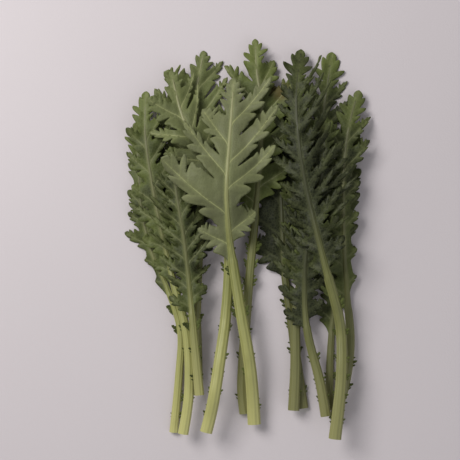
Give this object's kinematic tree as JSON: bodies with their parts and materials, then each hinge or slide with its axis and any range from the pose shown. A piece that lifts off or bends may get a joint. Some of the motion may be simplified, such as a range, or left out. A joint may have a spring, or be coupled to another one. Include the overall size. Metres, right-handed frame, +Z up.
{
  "type": "garland chrysanthemum bunch",
  "caption": "Loose fan of cut garland chrysanthemum stems lying flat, cut ends together, with toothed and lobed leaves on pale midribs.",
  "frame": {"origin": "on the surface that the bunch lies on, under the middle of the bunch's box", "axes": "+Y from the cut ends to the leaf tips, +Z up from the surface, +X to the right seen from above with the tips away"},
  "size_m": [0.1446, 0.2304, 0.0267],
  "materials": {
    "leafy_stem": "soft satin leaf green"
  },
  "bodies": {
    "root": {"leafy_stem_left_low": "leafy_stem", "leafy_stem_middle_low": "leafy_stem", "leafy_stem_far_right": "leafy_stem", "leafy_stem_far_left": "leafy_stem", "leafy_stem_top_left": "leafy_stem", "leafy_stem_top_right": "leafy_stem", "leafy_stem_right": "leafy_stem", "leafy_stem_left": "leafy_stem", "leafy_stem_top_middle": "leafy_stem", "leafy_stem_right_of_middle": "leafy_stem", "leafy_stem_inner_right": "leafy_stem", "leafy_stem_left_of_middle": "leafy_stem", "leafy_stem_upper_left": "leafy_stem", "leafy_stem_middle": "leafy_stem"}
  },
  "joints": []
}
